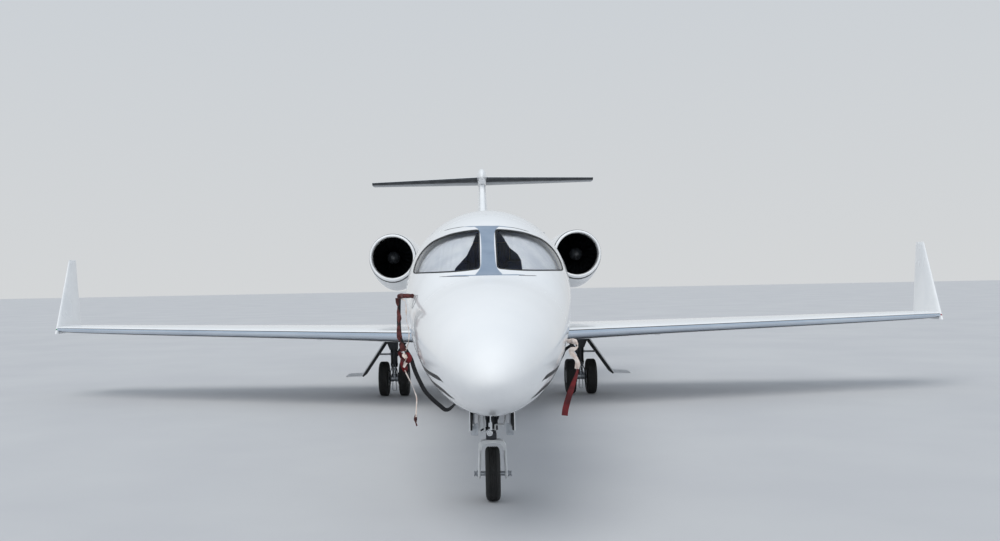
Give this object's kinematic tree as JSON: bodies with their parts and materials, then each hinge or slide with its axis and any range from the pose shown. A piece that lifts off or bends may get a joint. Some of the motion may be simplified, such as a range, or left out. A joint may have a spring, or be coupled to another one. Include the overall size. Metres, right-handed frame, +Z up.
{
  "type": "twin-engine business jet",
  "caption": "Parked light business jet with a T-tail, winglets, rear engines, a two-part entry door, moving control surfaces and steered nose gear.",
  "frame": {"origin": "on the ground under the middle of the overall length, on the centre plane", "axes": "nose towards -Y, port side towards +X, up is +Z"},
  "size_m": [14.834, 17.68, 4.335],
  "materials": {
    "skin_paint": "gloss",
    "surface_paint": "gloss",
    "fairing_composite": "gloss",
    "window_glass": "polished",
    "shade_foil": "satin",
    "fan_metal": "satin",
    "engine_metal": "satin",
    "gear_metal": "satin",
    "wheel_metal": "satin",
    "tyre_rubber": "matte",
    "seat_leather": "satin",
    "panel_plastic": "matte",
    "cover_fabric": "matte"
  },
  "bodies": {
    "airframe": {"nose_section": "skin_paint", "cockpit_section": "skin_paint", "windscreen_port": "window_glass", "sunshade_port": "shade_foil", "windscreen_starboard": "window_glass", "sunshade_starboard": "shade_foil", "door_ring": "skin_paint", "cabin_barrel": "skin_paint", "cabin_windows_port": "window_glass", "cabin_windows_starboard": "window_glass", "wing_fairing": "fairing_composite", "wing_port": "skin_paint", "winglet_port": "fairing_composite", "wing_starboard": "skin_paint", "winglet_starboard": "fairing_composite", "fin": "surface_paint", "tail_cone": "skin_paint", "stabilizer": "surface_paint", "nacelle_port": "surface_paint", "engine_port": "engine_metal", "pylon_port": "surface_paint", "nacelle_starboard": "surface_paint", "engine_starboard": "engine_metal", "pylon_starboard": "surface_paint", "nose_gear_leg": "gear_metal", "nose_gear_door_port": "surface_paint", "nose_gear_door_starboard": "surface_paint", "main_leg_port": "gear_metal", "main_gear_door_port": "surface_paint", "main_leg_starboard": "gear_metal", "main_gear_door_starboard": "surface_paint", "cabin_seats": "seat_leather", "crew_seats": "seat_leather", "instrument_panel": "panel_plastic", "probe_cover_port": "cover_fabric", "probe_cover_starboard": "cover_fabric"},
    "nose_steering_fork": {"nose_fork": "gear_metal"},
    "nose_wheel": {"nose_wheel_hub": "wheel_metal", "nose_tyre": "tyre_rubber"},
    "main_wheels_port": {"main_hub_port_inner": "wheel_metal", "main_tyre_port_inner": "tyre_rubber", "main_hub_port_outer": "wheel_metal", "main_tyre_port_outer": "tyre_rubber"},
    "main_wheels_starboard": {"main_hub_starboard_inner": "wheel_metal", "main_tyre_starboard_inner": "tyre_rubber", "main_hub_starboard_outer": "wheel_metal", "main_tyre_starboard_outer": "tyre_rubber"},
    "upper_door": {"entry_door_upper": "skin_paint"},
    "lower_door": {"entry_door_lower": "skin_paint"},
    "fan_rotor_port": {"fan_port": "fan_metal"},
    "fan_rotor_starboard": {"fan_starboard": "fan_metal"},
    "rudder_body": {"rudder": "surface_paint"},
    "aileron_body_port": {"aileron_port": "surface_paint"},
    "aileron_body_starboard": {"aileron_starboard": "surface_paint"},
    "elevator_body_port": {"elevator_port": "surface_paint"},
    "elevator_body_starboard": {"elevator_starboard": "surface_paint"},
    "flap_body_port": {"flap_port": "surface_paint"},
    "flap_body_starboard": {"flap_starboard": "surface_paint"}
  },
  "joints": [
    {"name": "nose_steering", "type": "hinge", "parent": "airframe", "child": "nose_steering_fork", "pos_m": [0, -6.89, 0.55], "axis": [0, 0, 1], "range_deg": [-60, 60]},
    {"name": "nose_wheel_spin", "type": "hinge", "parent": "nose_steering_fork", "child": "nose_wheel", "pos_m": [0, -6.89, 0.2285], "axis": [1, 0, 0], "continuous": true},
    {"name": "main_wheels_port_spin", "type": "hinge", "parent": "airframe", "child": "main_wheels_port", "pos_m": [1.515, 1.03, 0.28], "axis": [1, 0, 0], "continuous": true},
    {"name": "main_wheels_starboard_spin", "type": "hinge", "parent": "airframe", "child": "main_wheels_starboard", "pos_m": [-1.515, 1.03, 0.28], "axis": [1, 0, 0], "continuous": true},
    {"name": "upper_door_hinge", "type": "hinge", "parent": "airframe", "child": "upper_door", "pos_m": [0.60395, -4.46, 2.36], "axis": [0, -1, 0], "range_deg": [0, 95]},
    {"name": "lower_door_hinge", "type": "hinge", "parent": "airframe", "child": "lower_door", "pos_m": [0.62935, -4.46, 1.075], "axis": [0, 1, 0], "range_deg": [0, 115]},
    {"name": "fan_port_spin", "type": "hinge", "parent": "airframe", "child": "fan_rotor_port", "pos_m": [1.6, 2.345, 2.29], "axis": [0, 1, 0], "continuous": true},
    {"name": "fan_starboard_spin", "type": "hinge", "parent": "airframe", "child": "fan_rotor_starboard", "pos_m": [-1.6, 2.345, 2.29], "axis": [0, 1, 0], "continuous": true},
    {"name": "rudder_hinge", "type": "hinge", "parent": "airframe", "child": "rudder_body", "pos_m": [0, 6.72, 2.56], "axis": [0, 0.4475, 0.8943], "range_deg": [-25, 25]},
    {"name": "aileron_port_hinge", "type": "hinge", "parent": "airframe", "child": "aileron_body_port", "pos_m": [5.15, 1.63161, 1.13544], "axis": [0.9967, 0.0789, 0.0176], "range_deg": [-20, 20]},
    {"name": "aileron_starboard_hinge", "type": "hinge", "parent": "airframe", "child": "aileron_body_starboard", "pos_m": [-5.15, 1.63161, 1.13544], "axis": [0.9967, -0.0789, -0.0176], "range_deg": [-20, 20]},
    {"name": "elevator_port_hinge", "type": "hinge", "parent": "airframe", "child": "elevator_body_port", "pos_m": [0.25, 7.92969, 4.09733], "axis": [0.9807, 0.1949, 0.017], "range_deg": [-15, 20]},
    {"name": "elevator_starboard_hinge", "type": "hinge", "parent": "airframe", "child": "elevator_body_starboard", "pos_m": [-0.25, 7.92969, 4.09733], "axis": [0.9807, -0.1949, -0.017], "range_deg": [-15, 20]},
    {"name": "flap_port_hinge", "type": "hinge", "parent": "airframe", "child": "flap_body_port", "pos_m": [1.25, 1.41925, 1.07214], "axis": [-0.9979, -0.0627, -0.0162], "range_deg": [0, 40]},
    {"name": "flap_starboard_hinge", "type": "hinge", "parent": "airframe", "child": "flap_body_starboard", "pos_m": [-1.25, 1.41925, 1.07214], "axis": [-0.9979, 0.0627, 0.0162], "range_deg": [0, 40]}
  ],
  "couplings": [
    {"joint": "aileron_starboard_hinge", "follows": "aileron_port_hinge", "ratio": -1},
    {"joint": "elevator_starboard_hinge", "follows": "elevator_port_hinge", "ratio": 1},
    {"joint": "flap_starboard_hinge", "follows": "flap_port_hinge", "ratio": 1}
  ]
}
